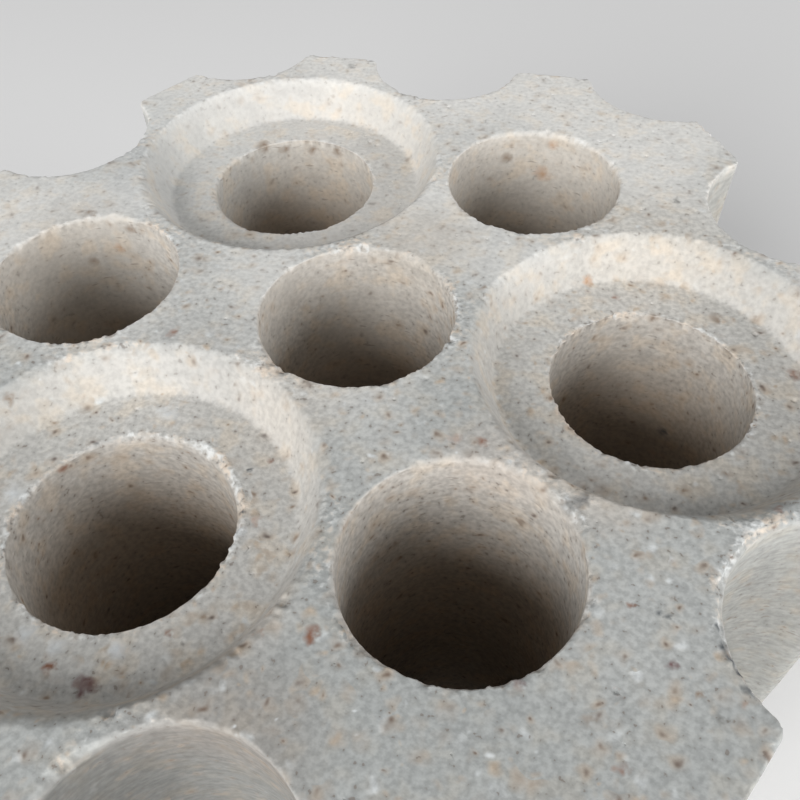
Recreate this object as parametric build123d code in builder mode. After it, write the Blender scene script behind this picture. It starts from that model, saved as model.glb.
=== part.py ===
from build123d import *
import math
import os

# Hexagonal checker brick of fired fireclay for a hot stove: seven upright flues on a
# triangular grid, half a flue in the middle of each side and a third of one on each
# corner. Bricks stand side by side and their cut flues meet as whole ones. Three keys,
# a ring spigot below and a ring socket above on the same flue, hold one course on the
# next. Millimetres, +Z up, z = 0 on the spigots' ends, which the loose brick rests on.

# Flues and body
flue_d = 40.0            # bore of every flue, whole or cut
flue_wall = 20.0         # least wall between two flues
body_height = 120.0      # one course, from seat to seat
joint = 4.8              # gap between two bricks that stand side by side
lip_r = 2.5              # upright corners where a cut flue opens through a side
arris = 1.5              # bevel on the outline of the top and the underside
mouth = 1.0              # bevel on the rim of a flue where it opens through the top face

# Keys
socket_land = 3.75       # least wall left between a socket's mouth and the next flue
socket_depth = 9.0
wall_run = 5.0           # how far the socket's sloping wall comes in on its way down
socket_foot_r = 2.5      # hollow between wall and floor
socket_bevel = 1.0       # on the socket's mouth
spigot_bevel = 1.5       # on the spigot's end, to clear the hollow
key_play = 1.0           # sideways play of a spigot in its socket
key_gap = 1.0            # air left under a seated spigot

# The six whole flues round the middle one, the flues cut by the sides and those cut by
# the corners lie on three rings of the same grid.
flue_pitch = flue_d + flue_wall
side_ring = math.sqrt(3) * flue_pitch
corner_ring = 2 * flue_pitch
side_distance = side_ring - joint / 2

socket_mouth_r = flue_pitch - flue_d / 2 - socket_land
socket_floor_r = socket_mouth_r - wall_run
wall_lean = wall_run / socket_depth

spigot_height = socket_depth - key_gap
spigot_root_r = socket_mouth_r - key_play
spigot_end_r = spigot_root_r - wall_lean * spigot_height

underside = spigot_height
top = underside + body_height

# Hollow of one socket, with z = 0 at the top face: its wall runs on above it at the
# same lean, so that it opens through the face.
over = 1.0
with BuildPart() as socket:
    with BuildSketch(Plane.XZ) as socket_half:
        with BuildLine():
            Polyline(
                (0, -socket_depth),
                (socket_floor_r, -socket_depth),
                (socket_mouth_r + wall_lean * over, over),
                (0, over),
                close=True,
            )
        make_face()
        fillet(socket_half.vertices().group_by(Axis.Y)[0].sort_by(Axis.X)[-1], socket_foot_r)
    revolve(axis=Axis.Z)

# One spigot, the socket's own form less the play, standing on its end face.
with BuildPart() as spigot:
    with BuildSketch(Plane.XZ) as spigot_half:
        with BuildLine():
            Polyline(
                (0, 0),
                (spigot_end_r, 0),
                (spigot_root_r, spigot_height),
                (0, spigot_height),
                close=True,
            )
        make_face()
        chamfer(spigot_half.vertices().group_by(Axis.Y)[0].sort_by(Axis.X)[-1], spigot_bevel)
    revolve(axis=Axis.Z)

with BuildPart() as checker_brick:
    # Body: a hexagon across which the outer rings of flues are cut, with soft lips.
    with BuildSketch(Plane.XY.offset(underside)) as outline:
        RegularPolygon(side_distance, 6, major_radius=False)
        with PolarLocations(side_ring, 6, start_angle=30):
            Circle(flue_d / 2, mode=Mode.SUBTRACT)
        with PolarLocations(corner_ring, 6):
            Circle(flue_d / 2, mode=Mode.SUBTRACT)
        fillet(outline.vertices(), lip_r)
    extrude(amount=body_height)
    body_faces = checker_brick.faces().filter_by(Plane.XY).sort_by(Axis.Z)
    chamfer(body_faces[0].edges() + body_faces[-1].edges(), arris)

    # Keys on every second flue of the inner ring, sockets above and spigots below.
    with PolarLocations(flue_pitch, 3):
        add(spigot.part)
        with Locations((0, 0, top)):
            add(socket.part, mode=Mode.SUBTRACT)

    # Seven whole flues, through the keys as well.
    with BuildSketch(Plane.XY):
        Circle(flue_d / 2)
        with PolarLocations(flue_pitch, 6):
            Circle(flue_d / 2)
    extrude(amount=top, mode=Mode.SUBTRACT)

    # The sockets' mouths open a little wider, so that a spigot finds its way in.
    rings = checker_brick.edges().filter_by(GeomType.CIRCLE)
    chamfer(
        rings.filter_by_position(Axis.Z, top, top).filter_by(
            lambda ring: math.isclose(ring.radius, socket_mouth_r, abs_tol=1e-4)
        ),
        socket_bevel,
    )

    # Flues that open through the top face have eased rims. Those on the socket floors
    # and below are out of reach of wear and stay as sharp as they were pressed.
    chamfer(
        rings.filter_by_position(Axis.Z, top, top).filter_by(
            lambda ring: math.isclose(ring.radius, flue_d / 2, abs_tol=1e-4)
        ),
        mouth,
    )

checker_brick.part.label = "checker_brick"
os.makedirs("parts", exist_ok=True)
export_step(checker_brick.part, "parts/checker_brick.step")
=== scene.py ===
import math

import bmesh
import bpy
import numpy as np
from mathutils import Matrix, Vector
from mathutils.geometry import delaunay_2d_cdt
from mathutils.kdtree import KDTree


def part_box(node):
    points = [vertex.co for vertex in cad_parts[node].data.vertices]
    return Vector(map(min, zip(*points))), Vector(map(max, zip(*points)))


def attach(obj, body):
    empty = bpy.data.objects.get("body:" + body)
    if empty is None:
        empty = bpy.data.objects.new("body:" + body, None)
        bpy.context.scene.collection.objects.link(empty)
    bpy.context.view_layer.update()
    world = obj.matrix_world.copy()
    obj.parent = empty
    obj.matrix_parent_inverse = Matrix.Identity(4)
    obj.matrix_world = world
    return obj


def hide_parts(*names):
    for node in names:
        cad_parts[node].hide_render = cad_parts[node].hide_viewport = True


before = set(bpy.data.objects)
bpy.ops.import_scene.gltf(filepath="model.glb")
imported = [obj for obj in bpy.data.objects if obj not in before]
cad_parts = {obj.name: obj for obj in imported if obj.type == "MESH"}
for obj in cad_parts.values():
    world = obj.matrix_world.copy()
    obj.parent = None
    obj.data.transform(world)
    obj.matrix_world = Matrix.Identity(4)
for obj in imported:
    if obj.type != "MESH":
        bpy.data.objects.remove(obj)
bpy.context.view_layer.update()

# The checker brick. One block of pale fireclay, pressed between two dies round a set of
# core pins and then fired: whole flues inside, cut ones along its edge, ring sockets on
# the top face and ring spigots below. It stands loose on the ends of its spigots.

# Sizes are in millimetres, and the CAD block gives the heights and the width over flats.
MM = 0.001
brick_low, brick_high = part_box("checker_brick")
foot_z = brick_low[2] / MM
top_z = brick_high[2] / MM
side_distance = brick_high[1] / MM

flue_r = 20.0
flue_wall = 20.0
pitch = 2 * flue_r + flue_wall
side_ring = math.sqrt(3) * pitch
corner_ring = 2 * pitch

socket_depth = 9.0
socket_land = 3.75
socket_mouth_r = pitch - flue_r - socket_land
floor_z = top_z - socket_depth
spigot_height = 8.0
under_z = foot_z + spigot_height


def around(radius, degrees):
    """The point at that radius and bearing from the brick's middle."""
    turn = math.radians(degrees)
    return radius * np.array([math.cos(turn), math.sin(turn)])


plain_flues = [np.zeros(2)] + [around(pitch, degrees) for degrees in (60, 180, 300)]
keyed_flues = [around(pitch, degrees) for degrees in (0, 120, 240)]
cut_flues = [around(side_ring if degrees % 60 else corner_ring, degrees) for degrees in range(0, 360, 30)]

# Plain flues: the bores that four of the core pins left. Their walls are smooth with
# faint level drag lines, and their rims broke in small crumbs as the pins drew out.

# The surface grows as rings of points. Beside the points stand two masks: how far a
# point lies in broken clay, and how far it lies on a wall that a core pin shaped.
points = []
broken = []
cored = []
faces = []


def lay(xy, z, crumb=0.0, wall=0.0):
    """Adds points at one height, or each at its own, and returns their numbers."""
    start = sum(len(part) for part in points)
    points.append(np.column_stack([xy, np.broadcast_to(z, len(xy))]))
    broken.append(np.broadcast_to(crumb, len(xy)).astype(float))
    cored.append(np.broadcast_to(wall, len(xy)).astype(float))
    return np.arange(start, start + len(xy))


def band(one, other):
    """Closes the strip between two rings, of which one may have twice the other's points."""
    if len(one) == len(other):
        strip = [one, np.roll(one, -1), np.roll(other, -1), other]
        faces.extend(np.stack(strip, axis=1).tolist())
        return
    fine, coarse = (one, other) if len(one) > len(other) else (other, one)
    even, odd = fine[0::2], fine[1::2]
    for corners in (
        [even, odd, coarse],
        [odd, np.roll(even, -1), np.roll(coarse, -1)],
        [odd, np.roll(coarse, -1), coarse],
    ):
        faces.extend(np.stack(corners, axis=1).tolist())


def grain(xy, z, lump, seed):
    """Smooth noise from -1 to 1 whose lumps are about that many millimetres wide."""
    place = np.column_stack([xy, np.broadcast_to(z, len(xy))]) / lump + 19.19 * (seed + 1)
    cell = np.floor(place).astype(np.int64)
    part = place - cell
    part = part * part * (3 - 2 * part)
    total = np.zeros(len(place))
    for corner in np.ndindex(2, 2, 2):
        key = (cell + corner) * np.array([73856093, 19349663, 83492791])
        mixed = np.bitwise_xor.reduce(key, axis=1) ^ (seed * 40503 + 977)
        mixed = (mixed ^ (mixed >> 15)) * 2246822519 % 4294967296
        mixed = (mixed ^ (mixed >> 13)) * 3266489917 % 4294967296
        total += ((mixed >> 8) / 8388607.5 - 1) * np.prod(np.where(corner, part, 1 - part), axis=1)
    return total


def ramp(value, start, end):
    """0 before start, 1 past end and smooth between."""
    part = np.clip((value - start) / (end - start), 0, 1)
    return part * part * (3 - 2 * part)


# Where a rim has lost more than crumbs: the place and how wide the missing bit is.
knocks = [((-13.0, -15.0), 5.0), ((72.0, -43.0), 9.0), ((70.5, -57.0), 7.0), ((16.0, 12.0), 4.0)]
knocks += [((-6.0, 20.0), 6.0), ((47.5, -39.0), 4.0), ((8.0, 19.5), 5.0), ((96.0, 36.0), 6.0)]
knocks += [((-2.0, 84.0), 4.0), ((-20.0, -34.0), 4.0), ((-11.0, -46.0), 8.0), ((-14.0, -40.0), 6.0)]
knocks += [((-22.0, -33.5), 8.0), ((-36.0, -33.0), 7.0), ((14.0, -66.0), 4.0), ((70.0, -47.0), 3.0)]
knocks += [((76.5, -35.5), 5.0), ((-50.0, -52.0), 7.0), ((47.0, -15.0), 7.0), ((58.0, -20.0), 6.0)]
knocks += [((-48.0, 43.0), 7.0), ((-38.0, 33.5), 7.0)]
# Where an edge is worn rounder than elsewhere: the place, how far it reaches and how much.
rounded = [((-45.0, -86.0), 14.0, 1.9), ((-22.0, -88.0), 8.0, 0.9), ((31.0, -32.0), 12.0, 0.7)]
rounded += [((30.0, 72.0), 14.0, 0.7), ((-62.0, 19.0), 12.0, 0.7), ((3.0, -36.0), 8.0, 0.6)]
rounded += [((0.0, -71.0), 10.0, 1.3), ((6.0, -57.0), 9.0, 0.8)]


def hollow_gaps(xy, height):
    """How far points lie from each hollow in the face at that height, nearest first."""
    keyed_r = socket_mouth_r if height > floor_z + 1 else flue_r
    gaps = [np.linalg.norm(xy - centre, axis=1) - flue_r for centre in plain_flues + cut_flues]
    gaps += [np.linalg.norm(xy - centre, axis=1) - keyed_r for centre in keyed_flues]
    return np.sort(gaps, axis=0)


def nearness(xy, place, width):
    """1 at a place, fading with the distance from it over that many millimetres."""
    return np.exp(-((np.linalg.norm(xy - place, axis=1) / width) ** 2))


def circle(centre, radius, count):
    """A circle as points and the directions that point away from its centre."""
    turn = np.arange(count) * 2 * math.pi / count
    away = np.column_stack([np.cos(turn), np.sin(turn)])
    return centre + radius * away, away


fine_steps = (0.2, 0.4, 0.6, 0.8)


def worn_rim(path, into, z, up, soft, chips, seed, beads=1.0, lean=0.0, steps=fine_steps, wall=1.0):
    """
    The worn edge between a flat face and a wall. path is where they would meet, into
    points from the wall into the clay, up is 1 on the top and -1 below, soft and chips
    are how wide it is rounded and broken, beads is how lumpy, and lean is how far the
    wall closes in for each mm down. Returns the rings from the face to the wall.
    """
    bites = [grain(path, z, lump, seed + i) for i, lump in enumerate((0.9, 0.8, 1.0, 0.85))]
    gaps = hollow_gaps(path, z)
    left = np.where(gaps[0] < 0.5, gaps[1], gaps[0]) if up > 0 else np.full(len(path), 20.0)
    thin = ramp(left, 9.0, 3.8)
    small = ramp(grain(path, z, 2.9, seed + 5) + 0.5 * grain(path, z, 1.2, seed + 6), 0.2, 1.0)
    large = ramp(grain(path, z, 11.0, seed + 7), 0.45, 0.85)
    lost = (0.5 + 0.5 * thin) * small + 0.6 * large
    for place, width in knocks if up > 0 else []:
        lost += 1.1 * nearness(path, place, width) * (0.6 + 0.4 * small)
    lost = np.clip(lost, 0, 1.5)
    soft = soft * (0.6 + 0.8 * ramp(grain(path, z, 13.0, seed + 11), -0.5, 0.6))
    for place, width, extra in rounded if z > floor_z + 1 else []:
        soft = soft + extra * nearness(path, place, width)
    reach = soft * (1 + 0.5 * bites[0]) + chips * lost * (0.8 + 0.5 * bites[1])
    drop = soft * (1 + 0.5 * bites[2]) + chips * lost * (0.8 + 0.5 * bites[3])
    reach = np.minimum(reach, np.maximum(0.45 * left, 0.25))
    drop = np.minimum(drop, 2.2)
    beady = 0.35 + 0.9 * ramp(grain(path, z, 7.0, seed + 10), -0.3, 0.5)
    crumb = np.clip(0.28 * beads**2 * beady + 0.6 * lost + 0.3 * thin * beady, 0, 1)
    hollowed = np.clip(1.2 * lost, 0, 1)
    rings = []
    for step in (0.0, *steps, 1.0):
        turn = step * math.pi / 2
        arch = 4 * step * (1 - step)
        sideways = reach * ((1 - hollowed) * (1 - math.sin(turn)) + hollowed * (1 - step + 0.1 * arch))
        downwards = drop * ((1 - hollowed) * (1 - math.cos(turn)) + hollowed * (step + 0.1 * arch))
        xy = path + into * (sideways - lean * downwards)[:, None]
        height = z - up * downwards
        grit = 0.32 * grain(xy, height, 0.8, seed + 8) + 0.12 * grain(xy, height, 0.42, seed + 9)
        grit = beads * grit * beady * math.sqrt(arch) * np.minimum(1, (reach + drop) / 0.6)
        xy = xy - into * (grit * math.sin(turn))[:, None]
        height = height + up * grit * math.cos(turn)
        height = np.minimum(height, z) if up > 0 else np.maximum(height, z)
        paler = (0.65 + 0.35 * math.sqrt(arch)) * (1 - 0.6 * step)
        rings.append(lay(xy, height, crumb * paler, wall * step))
    for one, other in zip(rings, rings[1:]):
        band(one, other)
    return rings


def cored_wall(ring, path, into, from_z, to_z, fewest, seed, wall=1.0):
    """Runs a wall down from a rim, with fewer points as it goes, and returns its last ring."""
    z = from_z
    stride = 0.9
    while True:
        if len(path) > fewest:
            path, into = path[::2], into[::2]
        z -= stride
        stride = min(stride * 1.6, 9.0)
        if z < to_z:
            return ring
        settle = ramp(np.array([from_z - z]), 0.0, 4.0)
        wave = 0.12 * grain(path, z, 16.0, seed) + 0.05 * grain(path, z, 4.5, seed + 1)
        new = lay(path + into * (settle * (wave + 0.05))[:, None], z, 0.0, wall)
        band(ring, new)
        ring = new


rim_points = 384
rim_height = 1.6


def flue_down(rim_ring, centre, from_z, to_z, seed):
    """A flue from its upper rim down to its lower one, whose ring on the face it returns."""
    path, into = circle(centre, flue_r, rim_points)
    ring = cored_wall(rim_ring, path, into, from_z, to_z + 4.0, fewest=rim_points // 4, seed=seed)
    path, into = circle(centre, flue_r, rim_points // 2)
    low = worn_rim(path, into, to_z, -1, soft=0.35, chips=0.5, seed=seed + 20, steps=(0.5,))
    band(low[-1], ring)
    return low[0]


top_rings = []
under_rings = []
# How far the rims of the middle, far, left and near one broke, and how beady they are.
rim_wear = ((1.2, 1.1), (0.8, 0.75), (1.1, 1.1), (0.8, 0.75))
for number, (centre, (chips, beads)) in enumerate(zip(plain_flues, rim_wear)):
    path, into = circle(centre, flue_r, rim_points)
    rim = worn_rim(path, into, top_z, 1, soft=0.42, chips=chips, seed=100 + 10 * number, beads=beads)
    top_rings.append(rim[0])
    under_rings.append(flue_down(rim[-1], centre, top_z - rim_height, under_z, 140 + 30 * number))

# Keyed flues: on the top face a ring socket round the bore, pressed by the upper die, with
# a sloping wall and a hollow at its foot. Below, the ring spigot that keys one course to
# another. Socket and spigot share one cone, less the play.

wall_run = 5.0
wall_lean = wall_run / socket_depth
wall_slope = math.atan2(socket_depth, wall_run)
socket_floor_r = socket_mouth_r - wall_run
foot_hollow_r = 1.5
floor_flat_r = socket_floor_r - foot_hollow_r * math.tan(wall_slope / 2)
key_play = 1.0
spigot_bevel = 1.5
spigot_root_r = socket_mouth_r - key_play
spigot_end_r = spigot_root_r - wall_lean * spigot_height
ring_points = 192
wall_wave = 0.2
foot_wave = 0.12
bore_rim_height = 1.4
# A wall that the die pressed counts as this much of one that a core pin shaped.
die_wall = 0.3


def die_ring(ring, centre, radius, z, count, rough, seed, wall=0.1):
    """The next ring of a face that a die pressed, slightly uneven."""
    path, away = circle(centre, radius, count)
    wave = rough * (0.6 * grain(path, z, 7.0, seed) + 0.4 * grain(path, z, 2.4, seed + 1))
    new = lay(path - away * np.abs(wave)[:, None], z, 0.0, wall)
    band(ring, new)
    return new


def cover(z, outer, holes, pits, seed, up=1, coarse=1.0, crumbled=0.0):
    """
    Covers a flat face between rings with points that lie closer near its rims, and
    sinks a few small pits in it. crumbled is how far the rims of its hollows broke.
    """
    rng = np.random.default_rng(seed)
    placed = np.concatenate(points)[:, :2]
    edge = np.concatenate([outer, *holes])
    edge_xy = placed[edge]
    near = KDTree(len(edge_xy))
    for number, (x, y) in enumerate(edge_xy):
        near.insert((x, y, 0), number)
    near.balance()

    def clearance(xy):
        """How far points lie from the nearest rim."""
        return np.array([near.find((x, y, 0))[2] for x, y in xy])

    def within(polygon, xy):
        """Which points lie inside a closed polygon."""
        start, end = polygon, np.roll(polygon, -1, axis=0)
        run = end - start
        inside = np.zeros(len(xy), bool)
        for part in np.array_split(np.arange(len(xy)), len(xy) // 2000 + 1):
            x, y = xy[part, 0][:, None], xy[part, 1][:, None]
            crossed = (start[:, 1] > y) != (end[:, 1] > y)
            rise = np.where(run[:, 1] == 0, 1, run[:, 1])
            at = start[:, 0] + run[:, 0] * (y - start[:, 1]) / rise
            inside[part] = np.count_nonzero(crossed & (x < at), axis=1) % 2 == 1
        return inside

    def on_face(xy):
        """Which points lie on the face, clear of its holes."""
        inside = within(placed[outer], xy)
        for hole in holes:
            inside &= ~within(placed[hole], xy)
        return inside

    low, high = edge_xy.min(axis=0), edge_xy.max(axis=0)
    chosen = []
    sunk = []
    dents = []
    tries = rng.random((pits * 15, 3)) * [*(high - low), 1] + [*low, 0]
    for x, y, chance in tries[on_face(tries[:, :2])]:
        size = 0.16 + 0.5 * chance**3
        spot = np.array([x, y])
        apart = all(np.hypot(*(spot - other)) > size + width + 1.2 for other, width in dents)
        if len(dents) < pits and apart and near.find((x, y, 0))[2] > size + 1.6:
            dents.append((spot, size))
    for spot, size in dents:
        for share, depth, count in ((0, 0.6, 1), (0.6, 0.45, 5), (1, 0.08, 8), (1.35, 0, 9)):
            turn = rng.random() * 6 + np.arange(count) * 2 * math.pi / count
            radius = size * share * (0.85 + 0.3 * rng.random(count))
            chosen.append(spot + radius[:, None] * np.column_stack([np.cos(turn), np.sin(turn)]))
            sunk.append(np.full(count, depth * size))
    for spacing, nearest, furthest in ((0.75, 0.4, 1.3), (1.3, 1.3, 3.6), (2.1, 3.6, 1000)):
        spacing *= coarse
        row = spacing * math.sqrt(0.75)
        x, y = np.meshgrid(np.arange(low[0], high[0], spacing), np.arange(low[1], high[1], row))
        x = x + np.where(np.arange(len(x)) % 2, spacing / 2, 0)[:, None]
        xy = np.column_stack([x.ravel(), y.ravel()])
        xy = xy + (rng.random(xy.shape) - 0.5) * 0.35 * spacing
        xy = xy[on_face(xy)]
        gap = clearance(xy)
        xy = xy[(gap >= nearest) & (gap < furthest)]
        for spot, size in dents:
            xy = xy[np.hypot(*(xy - spot).T) > 1.5 * size + 0.35 * spacing]
        chosen.append(xy)
        sunk.append(np.zeros(len(xy)))
    xy = np.concatenate(chosen)
    depth = np.concatenate(sunk)
    gaps = hollow_gaps(xy, z)
    thin = ramp(gaps[0] + gaps[1], 9.0, 4.5) if up > 0 else np.zeros(len(xy))
    gap = clearance(xy)
    frayed = np.exp(-gap / 0.9)
    crumb = 0.3 * thin + 0.35 * np.exp(-gap / 0.5) + crumbled * np.exp(-((gaps[0] / 0.95) ** 2))
    for place, width in knocks if up > 0 else []:
        crumb += 0.7 * nearness(xy, place, width) * np.exp(-((gap / 0.8) ** 2))
    crumb = np.clip(crumb, 0, 1)
    depth = depth + 0.07 * (frayed + thin) * (1 + grain(xy, z, 1.1, seed))
    inner = lay(xy, z - up * depth, crumb, 0.0)
    flat = [Vector((float(x), float(y))) for x, y in np.concatenate([edge_xy, xy])]
    borders = []
    start = 0
    for loop in (outer, *holes):
        count = len(loop)
        borders += [(start + i, start + (i + 1) % count) for i in range(count)]
        start += count
    met, _, triangles, origin, _, _ = delaunay_2d_cdt(flat, borders, [], 0, 1e-5)
    number = np.array([from_points[0] for from_points in origin])
    triangles = np.array(triangles)
    spots = np.array([(at.x, at.y) for at in met])
    triangles = triangles[on_face(spots[triangles].mean(axis=1))]
    faces.extend(np.concatenate([edge, inner])[number[triangles]].tolist())


# How beady the bores' rims are in the right, the far left and the front left socket.
rim_beads = (1.5, 1.3, 1.5)
for number, (centre, beads) in enumerate(zip(keyed_flues, rim_beads)):
    seed = 300 + 60 * number
    path, into = circle(centre, socket_mouth_r, 4 * ring_points)
    mouth = worn_rim(
        path, into, top_z, 1, soft=0.8, chips=0.6, seed=seed, beads=0.35, lean=wall_lean, wall=die_wall
    )
    top_rings.append(mouth[0])
    ring = mouth[-1]
    for depth in (2.4, 3.4, 4.6, 5.8, 7.2):
        radius = socket_mouth_r - wall_lean * depth
        count = max(len(ring) // 2, ring_points)
        ring = die_ring(ring, centre, radius, top_z - depth, count, wall_wave, seed + 10, die_wall)
    for lean in np.linspace(wall_slope, 0, 6):
        radius = floor_flat_r + foot_hollow_r * math.sin(lean)
        z = floor_z + foot_hollow_r * (1 - math.cos(lean))
        wall = die_wall * lean / wall_slope
        ring = die_ring(ring, centre, radius, z, ring_points, foot_wave, seed + 12, wall)
    path, into = circle(centre, flue_r, rim_points)
    rim = worn_rim(path, into, floor_z, 1, soft=0.3, chips=0.9, seed=seed + 14, beads=beads)
    cover(floor_z, ring, [rim[0]], pits=14, seed=seed + 30, crumbled=1.7 * (beads - 1))

    end_ring = flue_down(rim[-1], centre, floor_z - bore_rim_height, foot_z, seed + 31)
    path, into = circle(centre, spigot_root_r, ring_points)
    ring = lay(path, under_z)
    under_rings.append(ring)
    bevel_top = spigot_height - spigot_bevel * 0.87
    for depth in (1.2, 3.0, 5.0, bevel_top):
        radius = spigot_root_r - wall_lean * depth
        ring = die_ring(ring, centre, radius, under_z - depth, ring_points, wall_wave, seed + 40)
    end_flat_r = spigot_end_r - spigot_bevel
    radius = end_flat_r + 0.55 * spigot_bevel
    ring = die_ring(ring, centre, radius, foot_z + 0.4, ring_points, foot_wave, seed + 42)
    ring = die_ring(ring, centre, end_flat_r, foot_z, ring_points, 0.1, seed + 44)
    cover(foot_z, ring, [end_ring], pits=8, seed=seed + 50, up=-1, coarse=1.7)

# Sides: short flats between cut flues, joined by soft upright lips. A flue that lies on a
# joint is cut where the block ends. The arrises above and below are worn.

lip_r = 2.5
lip_in = side_distance - lip_r
lip_half = math.sqrt((flue_r + lip_r) ** 2 - (side_ring - lip_in) ** 2)


def arc(centre, radius, start, end):
    """Closely spaced points along an arc, bearings in degrees."""
    turn = np.radians(np.linspace(start, end, max(3, int(abs(end - start) * radius / 6))))
    return centre + radius * np.column_stack([np.cos(turn), np.sin(turn)])


def bearing(start, end, about):
    """The bearing from one point to another in degrees, within half a turn of about."""
    step = end - start
    degrees = math.degrees(math.atan2(step[1], step[0]))
    return degrees + 360 * round((about - degrees) / 360)


def outline(count):
    """The side's path seen from above, evenly spaced, and the directions into the clay."""
    runs = []
    for number, hollow in enumerate(cut_flues):
        side_in = 60 * ((number - 1) // 2) + 30
        side_out = 60 * (number // 2) + 30
        along_in, along_out = around(1, side_in + 90), around(1, side_out + 90)
        lip_before = around(lip_in, side_in) + along_in * (hollow @ along_in - lip_half)
        lip_after = around(lip_in, side_out) + along_out * (hollow @ along_out + lip_half)
        facing = 30 * number + 180
        first, last = bearing(hollow, lip_before, facing), bearing(hollow, lip_after, facing)
        runs.append(arc(lip_before, lip_r, side_in, bearing(lip_before, hollow, side_in + 90)))
        runs.append(arc(hollow, flue_r, first, last))
        runs.append(arc(lip_after, lip_r, bearing(lip_after, hollow, side_out - 90), side_out))
    run = np.concatenate(runs + [runs[0][:1]])
    step = np.linalg.norm(np.diff(run, axis=0), axis=1)
    length = np.concatenate([[0], np.cumsum(step)])
    at = np.arange(count) * length[-1] / count
    path = np.column_stack([np.interp(at, length, run[:, axis]) for axis in (0, 1)])
    along = np.roll(path, -1, axis=0) - np.roll(path, 1, axis=0)
    along /= np.linalg.norm(along, axis=1)[:, None]
    return path, np.column_stack([-along[:, 1], along[:, 0]])


def off_cut_flue(xy):
    """How far points lie from the wall of the nearest cut flue."""
    gaps = [np.abs(np.linalg.norm(xy - centre, axis=1) - flue_r) for centre in cut_flues]
    return np.min(gaps, axis=0)


def cut_wall(path):
    """How far the outline lies on a core pin's wall, which is less plain here than in a bore."""
    return 0.25 * ramp(off_cut_flue(path), 0.6, 0.05)


side_points = 960
side_top = top_z - 2.8
side_from = sum(len(part) for part in points)
path, into = outline(2 * side_points)
rim = worn_rim(path, into, top_z, 1, soft=0.75, chips=0.8, seed=500, beads=0.6, wall=cut_wall(path))
top_outline = rim[0]
path, into = outline(side_points)
walls = cut_wall(path)
side = lay(path, side_top, 0.0, walls)
band(rim[-1], side)
side = cored_wall(side, path, into, side_top, under_z + 3.0, side_points // 2, 520, wall=walls[::2])
rim = worn_rim(path, into, under_z, -1, soft=0.7, chips=0.8, seed=540, steps=(0.35, 0.7), wall=0.0)
band(rim[-1], side)
under_outline = rim[0]
side_to = sum(len(part) for part in points)

# The flat faces above and below, as the dies left them.
cover(top_z, top_outline, top_rings, pits=40, seed=7, coarse=1.15)
cover(under_z, under_outline, under_rings, pits=30, seed=8, up=-1, coarse=1.7)

# They aren't true planes: they dip softly and never rise past the die's face.
cloud = np.concatenate(points)
crumbs = np.concatenate(broken)
flat_xy = cloud[:, :2]
dip = 0.09 + 0.05 * grain(flat_xy, 0, 24.0, 31) + 0.03 * grain(flat_xy, 0, 6.0, 32)
dip += 0.02 * grain(flat_xy, 0, 2.2, 33)
cloud[:, 2] -= np.maximum(dip, 0) * ramp(cloud[:, 2], top_z - 2.5, top_z - 0.6)
floor_wave = 0.05 * grain(flat_xy, 0, 11.0, 34) + 0.03 * grain(flat_xy, 0, 2.6, 35)
cloud[:, 2] -= floor_wave * ramp(np.abs(cloud[:, 2] - floor_z), 1.2, 0.5)

# Round the front notch the broken rim shows less of its paler clay: partly dirt, partly painted shade
# over the front.
front_dirt_and_shade = nearness(flat_xy, around(side_ring - flue_r, 270), 16.0)
crumbs *= 1 - 0.65 * front_dirt_and_shade

# The upright lips are rubbed paler here and there.
side_xy, side_z = cloud[side_from:side_to, :2], cloud[side_from:side_to, 2]
off_flue = off_cut_flue(side_xy)
on_lip = ramp(off_flue, 0.1, 0.7) * ramp(off_flue, 4.0, 2.2) * ramp(side_z, top_z - 1.0, top_z - 3.0)
rubbed = on_lip * (0.18 + 0.27 * ramp(grain(side_xy, side_z, 13.0, 36), -0.4, 0.6))
crumbs[side_from:side_to] = np.maximum(crumbs[side_from:side_to], rubbed)

# The sides are greyer than the pressed faces, from handling and dust.
handled = np.zeros(len(cloud))
# Near the front notch the darker side tone reaches higher: partly dirt, partly painted shade.
raised = 0.4 * front_dirt_and_shade[side_from:side_to]
handled[side_from:side_to] = ramp(side_z, top_z - 0.5 + raised, top_z - 2.6 + raised)

# The whole surface is one closed mesh, and stands for the CAD block.
fired_mesh = bpy.data.meshes.new("checker_brick_fired")
fired_mesh.from_pydata((cloud * MM).tolist(), [], faces)
for name, values in (("broken", crumbs), ("cored", np.concatenate(cored)), ("handled", handled)):
    fired_mesh.attributes.new(name, "FLOAT", "POINT").data.foreach_set("value", values)
shell = bmesh.new()
shell.from_mesh(fired_mesh)
bmesh.ops.recalc_face_normals(shell, faces=shell.faces)
for face in shell.faces:
    face.smooth = True
shell.to_mesh(fired_mesh)
shell.free()
fired_brick = bpy.data.objects.new("checker_brick_fired", fired_mesh)
bpy.context.scene.collection.objects.link(fired_brick)
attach(fired_brick, "root")
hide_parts("checker_brick")

# Its clay: flint clay and crushed, burnt grog under a pale skin. Iron specks burnt tan,
# brown and dark red, chalky grog shows white, and what broke is paler than the skin.

fireclay = bpy.data.materials.new("fired_fireclay")
fireclay.use_nodes = True
clay = fireclay.node_tree
surface = clay.nodes["Principled BSDF"]
surface.inputs["Specular IOR Level"].default_value = 0.25


def node(tree, kind, sockets=(), **settings):
    """A shader node. sockets gives its inputs by name or place: numbers or other outputs."""
    made = tree.nodes.new(kind)
    for name, value in settings.items():
        setattr(made, name, value)
    for socket, value in dict(sockets).items():
        if isinstance(value, bpy.types.NodeSocket):
            tree.links.new(value, made.inputs[socket])
        else:
            made.inputs[socket].default_value = value
    return made


def maths(tree, operation, *values):
    """A Math node's output."""
    return node(tree, "ShaderNodeMath", enumerate(values), operation=operation).outputs[0]


def vector(tree, operation, sockets):
    """A Vector Math node's output."""
    return node(tree, "ShaderNodeVectorMath", sockets, operation=operation).outputs[0]


def measure(tree, operation, one, other):
    """The number that a Vector Math node gives."""
    return node(tree, "ShaderNodeVectorMath", {0: one, 1: other}, operation=operation).outputs["Value"]


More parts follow.
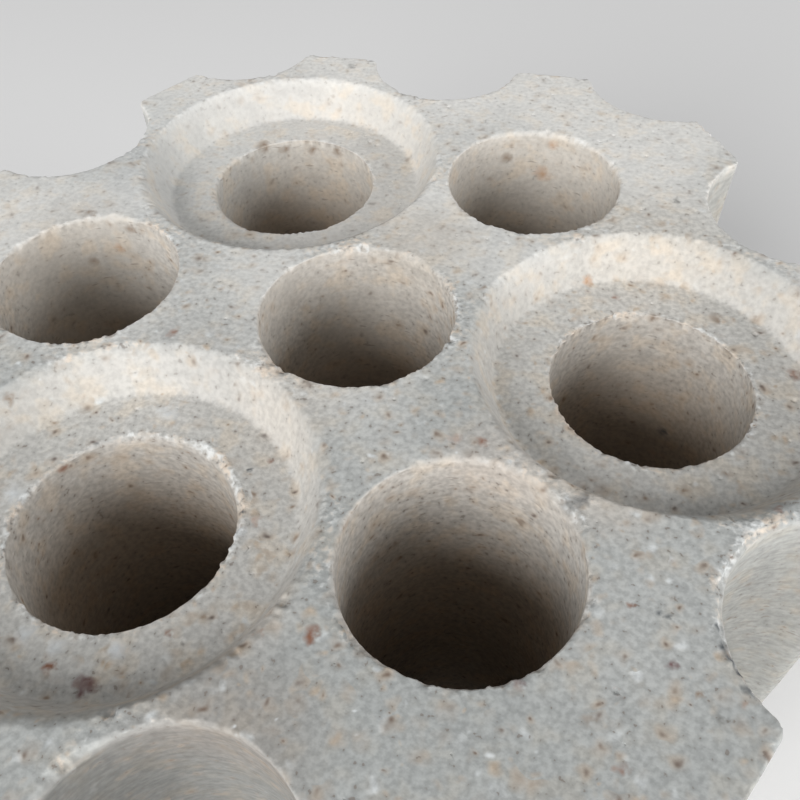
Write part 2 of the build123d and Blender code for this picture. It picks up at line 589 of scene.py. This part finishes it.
def fade(tree, value, start, end, low=0.0, high=1.0):
    """Runs a value smoothly from low at start to high at end."""
    sockets = {"Value": value, "From Min": start, "From Max": end, "To Min": low, "To Max": high}
    return node(tree, "ShaderNodeMapRange", sockets, interpolation_type="SMOOTHSTEP").outputs["Result"]


def blend(mask, one, other, how="MIX"):
    """Mixes two of the clay's colours by a mask."""
    made = node(clay, "ShaderNodeMix", {"Factor": mask}, data_type="RGBA", blend_type=how)
    for socket, value in ((made.inputs[6], one), (made.inputs[7], other)):
        if isinstance(value, bpy.types.NodeSocket):
            clay.links.new(value, socket)
        else:
            socket.default_value = (*value, 1.0)
    return made.outputs[2]


def mottle(at, lump, detail):
    """Cloudy noise whose lumps are about that many millimetres wide."""
    return node(clay, "ShaderNodeTexNoise", {"Vector": at, "Scale": 0.6 / lump, "Detail": detail})


def specks_group():
    """Scattered specks: where they are, the halo round each, and a random tone for each."""
    group = bpy.data.node_groups.new("clay_specks", "ShaderNodeTree")
    group.interface.new_socket("Place", in_out="INPUT", socket_type="NodeSocketVector")
    for name in ("Spacing", "Radius", "Share", "Core"):
        group.interface.new_socket(name, in_out="INPUT", socket_type="NodeSocketFloat")
    for name in ("Mask", "Halo", "Tone"):
        group.interface.new_socket(name, in_out="OUTPUT", socket_type="NodeSocketFloat")
    given = group.nodes.new("NodeGroupInput").outputs
    result = group.nodes.new("NodeGroupOutput")
    cells = {"Vector": given["Place"], "Scale": maths(group, "DIVIDE", 1.0, given["Spacing"])}
    cell = node(group, "ShaderNodeTexVoronoi", cells)
    far = maths(group, "MULTIPLY", cell.outputs["Distance"], given["Spacing"])
    chance = node(group, "ShaderNodeSeparateColor", {"Color": cell.outputs["Color"]}).outputs
    size = maths(group, "MULTIPLY", given["Radius"], fade(group, chance[1], 0.2, 1.0, 0.35, 1.0))
    off = maths(group, "DIVIDE", far, size)
    there = maths(group, "LESS_THAN", chance[0], given["Share"])
    spot = fade(group, off, given["Core"], 1.15, 1.0, 0.0)
    halo = fade(group, off, 0.6, 2.6, 1.0, 0.0)
    group.links.new(maths(group, "MULTIPLY", spot, there), result.inputs["Mask"])
    group.links.new(maths(group, "MULTIPLY", halo, there), result.inputs["Halo"])
    group.links.new(chance[2], result.inputs["Tone"])
    return group


clay_specks = specks_group()


def specks(at, spacing, radius, share, core):
    """One kind of speck: a mask, a halo and a tone."""
    sockets = {"Place": at, "Spacing": spacing, "Radius": radius, "Share": share, "Core": core}
    return node(clay, "ShaderNodeGroup", sockets, node_tree=clay_specks).outputs


def part_of(mask, share):
    """A share of a mask."""
    return maths(clay, "MULTIPLY", mask, share)


# Where each point lies, in millimetres: plainly, drawn out level along the pins' walls,
# and torn a little so that specks aren't round.
metres = node(clay, "ShaderNodeTexCoord").outputs["Object"]
place = vector(clay, "SCALE", {0: metres, "Scale": 1 / MM})
drawn = vector(clay, "MULTIPLY", {0: place, 1: (0.3, 0.3, 1.0)})
tear = vector(clay, "SUBTRACT", {0: mottle(place, 1.2, 0.0).outputs["Color"], 1: (0.5, 0.5, 0.5)})
torn = vector(clay, "ADD", {0: place, 1: vector(clay, "SCALE", {0: tear, "Scale": 1.8})})
is_broken = node(clay, "ShaderNodeAttribute", attribute_name="broken").outputs["Fac"]
is_cored = node(clay, "ShaderNodeAttribute", attribute_name="cored").outputs["Fac"]

broad = mottle(place, 16.0, 0.0).outputs["Fac"]
patchy = mottle(place, 3.2, 2.0).outputs["Fac"]
gritty = mottle(place, 0.68, 2.0).outputs["Fac"]
streak = mottle(drawn, 0.55, 1.0).outputs["Fac"]

# The skin is greyer towards the front and paler towards the back, partly its own tone and
# partly painted shade at the front and painted light at the back. It is creamier in the sockets
# and darker on the sides. The bores are a warm beige that turns browner and darker deeper
# down, partly their own tone and partly painted shade.
is_handled = node(clay, "ShaderNodeAttribute", attribute_name="handled").outputs["Fac"]
apart = node(clay, "ShaderNodeSeparateXYZ", {0: place}).outputs
height = apart["Z"]
across = measure(clay, "DOT_PRODUCT", place, (-0.25, 0.9, 0.0))
uneven = maths(clay, "ADD", across, fade(clay, broad, 0.3, 0.7, -25.0, 25.0))
to_back = fade(clay, uneven, -75.0, 90.0)
skin = blend(to_back, (0.395, 0.409, 0.401), (0.745, 0.737, 0.708))
sunk = fade(clay, height, top_z - 0.5, top_z - 3)
skin = blend(part_of(sunk, 0.5), skin, (0.644, 0.618, 0.578))
side_tone = blend(to_back, (0.38, 0.38, 0.36), (0.511, 0.504, 0.476))
# Towards the front the sides turn a dark grey: partly their own tone, partly painted shade.
side_tone = blend(fade(clay, apart["Y"], -60.0, -95.0, 0.0, 0.72), side_tone, (0.133, 0.132, 0.125))
on_side_flue = maths(clay, "MULTIPLY", is_handled, fade(clay, is_cored, 0.05, 0.25))
bore = blend(to_back, (0.471, 0.442, 0.406), (0.60, 0.56, 0.505))
bore = blend(fade(clay, streak, 0.35, 0.65, 0.0, 0.25), bore, (0.64, 0.617, 0.575))
# Browner and darker deeper in the bores: partly the clay's tone, partly painted shade.
bore = blend(fade(clay, height, top_z - 12, top_z - 45, 0.0, 0.75), bore, (0.40, 0.315, 0.235))
base = blend(is_handled, blend(is_cored, skin, bore), side_tone)

# Broad, faint patches: place, how deep below the top face, radius, strength and colour. A few are painted
# shade, marked where they stand.
patches = [
    ((62.0, -48.0), 0.0, 26.0, 0.25, (0.58, 0.587, 0.573)),
    ((-38.0, -16.0), 0.0, 22.0, 0.2, (0.717, 0.698, 0.663)),
    ((52.0, -33.0), 0.0, 11.0, 0.35, (0.60, 0.51, 0.42)),
    ((33.0, -31.0), 0.0, 12.0, 0.3, (0.64, 0.55, 0.47)),
    ((-8.0, -24.0), 2.0, 15.0, 0.3, (0.72, 0.65, 0.57)),
    ((58.0, 36.0), 3.0, 20.0, 0.25, (0.74, 0.66, 0.56)),
    ((8.0, 25.0), 0.0, 15.0, 0.5, (0.52, 0.475, 0.415)),
    # Painted shade: bluish grey on the far left socket's left wall, where shade falls.
    ((-60.0, 48.0), 6.0, 34.0, 0.35, (0.568, 0.597, 0.605)),
    ((0.0, -66.0), 2.0, 9.0, 0.4, (0.66, 0.62, 0.57)),
    ((2.0, 88.0), 0.0, 16.0, 0.4, (0.80, 0.795, 0.77)),
    ((-30.0, 20.0), 0.0, 13.0, 0.35, (0.76, 0.76, 0.74)),
    # Darker at the front notch's rim: partly the clay's tone, partly painted shade over the front.
    ((2.0, -86.0), 3.0, 17.0, 0.5, (0.285, 0.25, 0.22)),
    ((-70.4, 17.1), 11.0, 17.0, 0.45, (0.40, 0.37, 0.33)),
    ((-27.0, -17.0), 5.0, 13.0, 0.35, (0.50, 0.49, 0.47)),
    # Painted shade again, darker grey on the far left socket's left rim and wall.
    ((-66.0, 42.0), 4.0, 15.0, 0.35, (0.42, 0.43, 0.43)),
    ((-46.0, 84.0), 6.0, 17.0, 0.35, (0.50, 0.50, 0.49)),
]
for (x, y), down, radius, strength, colour in patches:
    off = measure(clay, "DISTANCE", place, (x, y, top_z - down))
    base = blend(fade(clay, off, 0.3 * radius, 1.2 * radius, strength, 0.0), base, colour)

# Tan and greyer clouds in the clay, the tan ones stronger inside the sockets and bores.
inside = maths(clay, "MULTIPLY", sunk, maths(clay, "SUBTRACT", 1.0, is_handled))
warm_share = maths(clay, "MULTIPLY_ADD", inside, 0.15, 0.32)
warm = maths(clay, "MULTIPLY", fade(clay, patchy, 0.48, 0.68), warm_share)
base = blend(warm, base, (1.15, 1.03, 0.89), "MULTIPLY")
cool = fade(clay, patchy, 0.48, 0.3, 0.0, 0.45)
base = blend(cool, base, (0.86, 0.865, 0.875), "MULTIPLY")

# How coarse the clay looks: finer towards the back and where the dies pressed a wall.
pressed = maths(clay, "SUBTRACT", fade(clay, is_cored, 0.05, 0.28), fade(clay, is_cored, 0.5, 1.0))
on_die_wall = fade(clay, pressed, 0.0, 1.0, 1.0, 0.62)
coarse = maths(clay, "MULTIPLY", fade(clay, to_back, 0.2, 0.9, 1.0, 0.5), on_die_wall)
crowded = maths(clay, "MULTIPLY", coarse, fade(clay, patchy, 0.38, 0.6, 0.45, 1.35))

# Grog, chalky or burnt tan, most of it on the faces.
grog = specks(torn, spacing=2.8, radius=1.3, share=0.8, core=0.1)
is_burnt = maths(clay, "LESS_THAN", grog["Tone"], 0.7)
grog_tone = blend(is_burnt, (0.683, 0.713, 0.723), (0.49, 0.39, 0.29))
elsewhere = maths(clay, "MAXIMUM", is_handled, is_cored)
grog_share = maths(clay, "MULTIPLY", crowded, fade(clay, elsewhere, 0.2, 1.0, 0.55, 0.12))
base = blend(maths(clay, "MULTIPLY", grog["Mask"], grog_share), base, grog_tone)

# Broken clay is paler, and its grit shows.
ragged = maths(clay, "ADD", is_broken, fade(clay, gritty, 0.3, 0.7, -0.25, 0.25))
crumb_mask = fade(clay, ragged, 0.3, 0.9)
crumb = blend(fade(clay, patchy, 0.42, 0.54), (0.70, 0.715, 0.71), (0.63, 0.54, 0.45))
base = blend(part_of(crumb_mask, 0.75), base, crumb)
base = blend(coarse, base, blend(1.0, base, fade(clay, gritty, 0.3, 0.7, 0.85, 1.13), "MULTIPLY"))

# The pins dragged and scored their walls.
dragged = fade(clay, streak, 0.3, 0.7, 0.91, 1.07)
base = blend(on_side_flue, base, blend(1.0, base, dragged, "MULTIPLY"))
pin_wall = maths(clay, "MAXIMUM", is_cored, on_side_flue)
scored = maths(clay, "MULTIPLY", fade(clay, streak, 0.69, 0.77, 0.0, 0.5), pin_wall)
base = blend(scored, base, (0.25, 0.205, 0.17))

# Iron specks, burnt into the clay round them, and small dark pores.
iron = specks(torn, spacing=3.4, radius=0.9, share=0.85, core=0.0)
iron_tone = blend(iron["Tone"], (0.24, 0.16, 0.105), (0.11, 0.08, 0.07))
base = blend(maths(clay, "MULTIPLY", iron["Halo"], part_of(crowded, 0.38)), base, (0.45, 0.36, 0.275))
base = blend(maths(clay, "MULTIPLY", iron["Mask"], part_of(coarse, 0.85)), base, iron_tone)
pitted = maths(clay, "MULTIPLY_ADD", is_broken, -0.07, gritty)
pits = maths(clay, "MULTIPLY", fade(clay, pitted, 0.33, 0.28), part_of(coarse, 0.6))
base = blend(pits, base, (0.20, 0.165, 0.14))

# The larger stains: place, how deep below the top face, radius, strength and colour.
dark_red, rust, tan_red = (0.13, 0.045, 0.045), (0.25, 0.12, 0.075), (0.42, 0.24, 0.16)
umber, ochre, slate = (0.25, 0.175, 0.12), (0.50, 0.29, 0.16), (0.17, 0.165, 0.155)
soot, chalk = (0.09, 0.10, 0.11), (0.70, 0.74, 0.77)
stains = [
    # On and in the front left socket.
    ((-24.3, -79.0), 9.0, 1.3, 0.75, dark_red),
    ((-22.6, -79.3), 9.0, 1.3, 0.75, dark_red),
    ((-23.6, -80.4), 9.0, 1.0, 0.7, dark_red),
    ((-30.5, -78.6), 9.0, 1.2, 0.8, rust),
    ((-59.7, -33.6), 2.4, 1.1, 0.6, umber),
    ((-42.9, -35.5), 9.0, 0.7, 0.8, soot),
    ((-47.3, -41.9), 10.0, 1.1, 0.7, rust),
    ((-10.7, -44.4), 9.0, 0.9, 0.85, soot),
    ((-7.4, -46.2), 9.0, 1.0, 0.5, tan_red),
    ((-11.9, -36.3), 9.0, 0.6, 0.8, soot),
    ((-8.9, -32.7), 9.0, 0.9, 0.6, rust),
    ((-10.1, -64.5), 9.0, 0.9, 0.7, umber),
    ((-14.4, -68.8), 9.0, 0.8, 0.6, rust),
    ((0.5, -53.3), 6.0, 1.0, 0.5, tan_red),
    ((-32.4, -25.6), 9.0, 2.2, 0.5, chalk),
    ((-21.3, -73.4), 9.0, 1.7, 0.55, chalk),
    ((-31.2, -74.6), 9.0, 1.7, 0.45, chalk),
    ((-37.0, -73.8), 9.0, 1.7, 0.45, chalk),
    ((-9.6, -48.6), 9.0, 1.6, 0.5, chalk),
    ((-52.5, -49.6), 9.0, 2.4, 0.45, chalk),
    # Round the near flue.
    ((10.4, -68.4), 0.0, 1.3, 0.8, rust),
    ((3.0, -68.9), 0.0, 0.8, 0.5, tan_red),
    ((29.7, -27.5), 0.0, 1.1, 0.8, rust),
    ((25.0, -27.8), 0.0, 1.3, 0.4, tan_red),
    ((41.2, -69.4), 0.0, 1.1, 0.6, dark_red),
    ((45.4, -38.0), 0.2, 1.6, 0.45, soot),
    ((47.4, -37.0), 0.2, 1.7, 0.5, soot),
    ((48.6, -35.6), 0.2, 1.3, 0.4, soot),
    # On the right of the top face and down its worn edge.
    ((62.0, -54.7), 0.0, 0.8, 0.85, soot),
    ((60.6, -54.0), 0.0, 0.7, 0.7, soot),
    ((56.2, -53.5), 0.0, 0.7, 0.6, rust),
    ((62.5, -62.0), 0.0, 1.1, 0.7, dark_red),
    ((66.1, -65.7), 0.0, 0.7, 0.7, umber),
    ((55.1, -68.1), 0.0, 0.7, 0.6, rust),
    ((51.2, -72.4), 0.0, 1.1, 0.5, umber),
    ((55.9, -78.2), 0.0, 1.1, 0.6, rust),
    ((72.1, -66.1), 0.0, 0.9, 0.5, tan_red),
    ((68.8, -68.6), 0.0, 0.9, 0.6, slate),
    ((69.5, -55.0), 0.4, 0.9, 0.9, soot),
    ((69.9, -57.2), 0.4, 1.2, 1.0, soot),
    ((70.7, -59.3), 0.4, 1.3, 1.0, soot),
    ((71.6, -61.4), 0.4, 1.1, 1.0, soot),
    ((72.8, -63.4), 0.4, 1.0, 1.0, soot),
    ((78.8, -31.3), 0.0, 1.1, 0.6, rust),
    # In the right socket.
    ((29.9, 2.2), 7.0, 1.2, 0.7, umber),
    ((45.5, 28.1), 8.4, 1.4, 0.6, ochre),
    ((51.9, 24.3), 9.0, 1.2, 0.7, rust),
    ((60.3, 20.0), 9.5, 1.4, 0.6, umber),
    ((73.1, 21.6), 9.0, 1.6, 0.6, umber),
    ((89.0, 27.6), 7.0, 1.3, 0.7, dark_red),
    ((88.0, 8.2), 9.0, 1.4, 0.6, rust),
    ((74.0, -19.7), 9.0, 1.2, 0.6, umber),
    ((69.5, 17.6), 44.0, 1.6, 0.7, soot),
    # Towards the back, in the far flues and the far left socket.
    ((-34.6, -12.8), 0.0, 1.2, 0.7, rust),
    ((24.1, 12.7), 0.0, 1.0, 0.6, umber),
    ((62.7, 49.6), 0.0, 0.8, 0.7, slate),
    ((21.8, 70.2), 7.3, 1.8, 0.6, umber),
    ((31.0, 72.0), 11.5, 2.4, 0.6, ochre),
    ((33.1, 71.7), 2.8, 1.8, 0.5, ochre),
    ((-43.9, 67.6), 9.3, 2.0, 0.7, umber),
    ((-38.7, 70.0), 11.4, 1.6, 0.7, umber),
    ((-31.4, 71.9), 11.8, 1.6, 0.7, umber),
    ((-24.0, 71.1), 11.3, 1.7, 0.6, umber),
    ((-26.0, 96.7), 0.0, 1.3, 0.6, slate),
    # At the left flue.
    ((-68.8, 20.4), 0.0, 1.4, 0.6, umber),
    ((-59.2, 20.0), 3.2, 1.6, 0.55, umber),
    ((-63.7, 19.7), 8.7, 1.3, 0.5, ochre),
    ((-70.3, 17.2), 11.9, 1.3, 0.5, umber),
]
ragged_way = node(clay, "ShaderNodeCombineXYZ", {"X": gritty, "Y": streak, "Z": patchy}).outputs[0]
ragged_way = vector(clay, "SUBTRACT", {0: ragged_way, 1: (0.5, 0.5, 0.5)})
fraying = vector(clay, "ADD", {0: place, 1: vector(clay, "SCALE", {0: tear, "Scale": 1.3})})
fraying = vector(clay, "ADD", {0: fraying, 1: vector(clay, "SCALE", {0: ragged_way, "Scale": 2.4})})
for (x, y), down, radius, strength, colour in stains:
    off = measure(clay, "DISTANCE", fraying, (x, y, top_z - down))
    spot = maths(clay, "MULTIPLY_ADD", off, -1.15 * strength / radius, 1.35 * strength)
    base = blend(spot, base, colour)
clay.links.new(base, surface.inputs["Base Color"])

clay.links.new(fade(clay, gritty, 0.3, 0.7, 0.84, 0.96), surface.inputs["Roughness"])

# Its relief, in millimetres: grit, deeper where it broke, and level drag lines.
rough = maths(clay, "MULTIPLY_ADD", is_broken, 0.3, 0.09)
relief = maths(clay, "MULTIPLY", gritty, rough)
relief = maths(clay, "MULTIPLY_ADD", maths(clay, "MULTIPLY", streak, is_cored), 0.06, relief)
bump = node(clay, "ShaderNodeBump", {"Height": relief, "Distance": MM, "Strength": 0.9})
clay.links.new(bump.outputs["Normal"], surface.inputs["Normal"])
fired_mesh.materials.append(fireclay)

# The floor it stands on: one plain, pale, matt sheet, level with the ends of the spigots
# and wide enough to fill the view behind the brick.

floor_mesh = bpy.data.meshes.new("floor")
floor_mesh.from_pydata([(-4, -4, 0), (4, -4, 0), (4, 4, 0), (-4, 4, 0)], [], [(0, 1, 2, 3)])
floor = bpy.data.objects.new("floor", floor_mesh)
bpy.context.scene.collection.objects.link(floor)
floor.location.z = foot_z * MM
pale = bpy.data.materials.new("pale_floor")
pale.use_nodes = True
pale.node_tree.nodes["Principled BSDF"].inputs["Base Color"].default_value = (0.8, 0.8, 0.8, 1)
pale.node_tree.nodes["Principled BSDF"].inputs["Roughness"].default_value = 1.0
floor_mesh.materials.append(pale)

# Light: a wide soft lamp low behind the camera, a weaker one lower still on the right and
# an even glow all round, so that the far walls of the hollows are bright and the bores dark.

bpy.context.scene.view_settings.view_transform = "Standard"
world = bpy.data.worlds.new("studio")
bpy.context.scene.world = world
world.use_nodes = True
world.node_tree.nodes["Background"].inputs["Color"].default_value = (1, 1, 1, 1)
world.node_tree.nodes["Background"].inputs["Strength"].default_value = 0.33
aim = Vector((0, 0, top_z * MM))


def soft_lamp(name, degrees, height, away, width, watts):
    """A square lamp at that bearing and elevation, turned to the brick."""
    lamp = bpy.data.lights.new(name, "AREA")
    lamp.size = width
    lamp.energy = watts
    holder = bpy.data.objects.new(name, lamp)
    bpy.context.scene.collection.objects.link(holder)
    level = away * math.cos(math.radians(height))
    out = around(level, degrees)
    holder.location = aim + Vector((out[0], out[1], away * math.sin(math.radians(height))))
    holder.rotation_euler = (aim - holder.location).to_track_quat("-Z", "Y").to_euler()


soft_lamp("key_lamp", degrees=-110, height=26, away=2.5, width=1.6, watts=65)
soft_lamp("side_lamp", degrees=-10, height=14, away=2.5, width=1.6, watts=47)

# The camera: close above the near edge, looking down across the block and tilted a little
# to the side. Its lens is just wide enough to take in the far edge.

camera_at = Vector((0.0370, -0.1164, 0.2432))
camera_to = Vector((0.0136, -0.0211, 0.1280))
camera_roll = math.radians(-1.97)
camera = bpy.data.cameras.new("camera")
camera.sensor_width = 36.0
camera.lens = 37.1
camera.clip_start = 0.01
viewer = bpy.data.objects.new("camera", camera)
bpy.context.scene.collection.objects.link(viewer)
looking = (camera_to - camera_at).to_track_quat("-Z", "Y").to_matrix().to_4x4()
viewer.matrix_world = Matrix.Translation(camera_at) @ looking @ Matrix.Rotation(camera_roll, 4, "Z")
bpy.context.scene.camera = viewer
